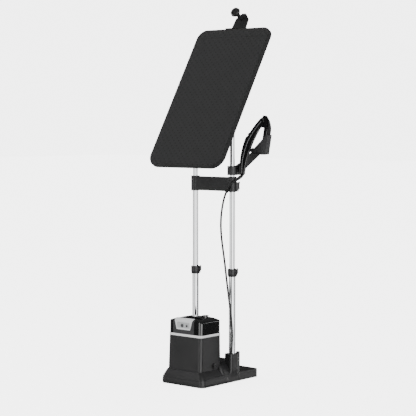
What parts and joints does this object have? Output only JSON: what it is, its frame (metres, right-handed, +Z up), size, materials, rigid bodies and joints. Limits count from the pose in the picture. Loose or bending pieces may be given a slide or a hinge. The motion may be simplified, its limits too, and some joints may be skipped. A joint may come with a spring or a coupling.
{
  "type": "garment steam station",
  "caption": "Steam generator with a removable water tank on a floor base, telescoping poles, a tilting ironing board, a steam head in its holder and a folding hanger hook.",
  "frame": {"origin": "on the floor, at the middle of the base, on the centre foot's underside", "axes": "+Z up along the poles, +Y to the back, +X to the right of somebody facing the control panel"},
  "size_m": [0.4854, 0.4369, 1.6524],
  "materials": {
    "base_plastic": "moulded, satin black",
    "casing_plastic": "moulded, satin black",
    "white_trim": "gloss white",
    "inner_plastic": "moulded grey",
    "panel_white": "gloss pale grey",
    "button_grey": "moulded dark grey",
    "tank_smoke": "gloss smoke",
    "chrome_tube": "polished",
    "steel": "plain",
    "clamp_plastic": "moulded, satin black",
    "rubber": "matte",
    "hose_rubber": "matte",
    "circuit": "laminate",
    "copper_pipe": "plain",
    "board_shell": "moulded, satin black",
    "board_fabric": "woven charcoal",
    "head_gloss": "gloss black",
    "sole_metal": "dark coated",
    "chamber_metal": "cast",
    "holder_plastic": "moulded dark grey"
  },
  "bodies": {
    "base": {"base_platform": "base_plastic", "base_plate": "base_plastic", "ballast_plate": "steel", "rubber_feet": "rubber", "bottom_screws": "steel", "socket_liners": "inner_plastic", "generator_casing": "casing_plastic", "trim_band": "white_trim", "tank_deck": "inner_plastic", "control_panel": "inner_plastic", "panel_face": "panel_white", "boiler": "steel", "pump": "inner_plastic", "circuit_board": "circuit", "steam_valve": "steel", "steam_pipe": "copper_pipe", "hose_gland": "rubber", "cord_inlet": "rubber", "lower_tubes": "chrome_tube", "lower_collar_left": "clamp_plastic", "lower_collar_right": "clamp_plastic", "collar_pins": "steel", "steam_hose_lower": "hose_rubber"},
    "power_button": {"power_button": "button_grey"},
    "mode_button": {"mode_button": "button_grey"},
    "descaling_cap": {"descaling_cap": "clamp_plastic"},
    "water_tank": {"tank_shell": "tank_smoke", "tank_valve": "rubber"},
    "tank_lid": {"tank_lid": "tank_smoke"},
    "collar_lever_left": {"collar_lever_left": "clamp_plastic"},
    "collar_lever_right": {"collar_lever_right": "clamp_plastic"},
    "mast": {"middle_tube_left": "chrome_tube", "middle_tube_right": "chrome_tube", "upper_tubes": "chrome_tube", "guide_bushes": "inner_plastic", "crossbar": "clamp_plastic", "crossbar_cover": "clamp_plastic", "hose_clip": "clamp_plastic", "mast_pins": "steel", "hinge_bracket": "clamp_plastic", "hinge_pin": "steel", "head_holder": "holder_plastic", "steam_hose_upper": "hose_rubber"},
    "mast_lever_left": {"mast_lever_left": "clamp_plastic"},
    "mast_lever_right": {"mast_lever_right": "clamp_plastic"},
    "tilt_lever": {"tilt_lever": "clamp_plastic"},
    "board": {"board_core": "board_shell", "board_cover": "board_fabric", "board_hinge": "board_shell", "hook_mount": "clamp_plastic", "hook_pin": "steel"},
    "hanger": {"hanger_arm": "clamp_plastic", "hanger_peg": "clamp_plastic"},
    "steam_head": {"head_shell": "head_gloss", "head_skirt": "head_gloss", "soleplate": "sole_metal", "steam_chamber": "chamber_metal", "strain_relief": "rubber"},
    "steam_button": {"steam_button": "button_grey"}
  },
  "joints": [
    {"name": "mast_slide", "type": "slide", "parent": "base", "child": "mast", "axis": [0, 0, 1], "range_m": [-0.32, 0], "deforming": ["steam_hose_lower"]},
    {"name": "board_tilt", "type": "hinge", "parent": "mast", "child": "board", "pos_m": [0, 0.022, 1.205], "axis": [1, 0, 0], "range_deg": [-59.1, 30.9]},
    {"name": "hanger_fold", "type": "hinge", "parent": "board", "child": "hanger", "pos_m": [0, 0.19371, 1.555], "axis": [1, 0, 0], "range_deg": [-100, 0]},
    {"name": "head_lift", "type": "slide", "parent": "mast", "child": "steam_head", "axis": [0.122, 0.067, 0.9903], "range_m": [0, 0.085], "deforming": ["steam_hose_upper"]},
    {"name": "steam_button_press", "type": "slide", "parent": "steam_head", "child": "steam_button", "axis": [0.5274, 0.2899, -0.7986], "range_m": [0, 0.003], "stiffness_N_per_m": 400},
    {"name": "power_button_press", "type": "slide", "parent": "base", "child": "power_button", "axis": [0, 1, 0], "range_m": [0, 0.0015], "stiffness_N_per_m": 400},
    {"name": "mode_button_press", "type": "slide", "parent": "base", "child": "mode_button", "axis": [0, 1, 0], "range_m": [0, 0.0015], "stiffness_N_per_m": 400},
    {"name": "descaling_cap_turn", "type": "hinge", "parent": "base", "child": "descaling_cap", "pos_m": [0.094, -0.086, 0.084], "axis": [1, 0, 0], "range_deg": [0, 90]},
    {"name": "tank_lift", "type": "slide", "parent": "base", "child": "water_tank", "axis": [0, 0, 1], "range_m": [0, 0.12]},
    {"name": "tank_lid_hinge", "type": "hinge", "parent": "water_tank", "child": "tank_lid", "pos_m": [0.038, -0.064, 0.2985], "axis": [-1, 0, 0], "range_deg": [0, 100]},
    {"name": "collar_lever_left_turn", "type": "hinge", "parent": "base", "child": "collar_lever_left", "pos_m": [-0.09327, 0.03473, 0.473], "axis": [-0.7071, 0.7071, 0], "range_deg": [0, 70]},
    {"name": "collar_lever_right_turn", "type": "hinge", "parent": "base", "child": "collar_lever_right", "pos_m": [0.11873, 0.03473, 0.473], "axis": [-0.7071, 0.7071, 0], "range_deg": [0, 70]},
    {"name": "mast_lever_left_turn", "type": "hinge", "parent": "mast", "child": "mast_lever_left", "pos_m": [-0.08938, 0.03862, 0.8445], "axis": [-0.7071, 0.7071, 0], "range_deg": [0, 70]},
    {"name": "mast_lever_right_turn", "type": "hinge", "parent": "mast", "child": "mast_lever_right", "pos_m": [0.12262, 0.03862, 0.8445], "axis": [-0.7071, 0.7071, 0], "range_deg": [0, 70]},
    {"name": "tilt_lever_turn", "type": "hinge", "parent": "mast", "child": "tilt_lever", "pos_m": [0.043, 0.022, 1.205], "axis": [1, 0, 0], "range_deg": [-35, 0]}
  ]
}
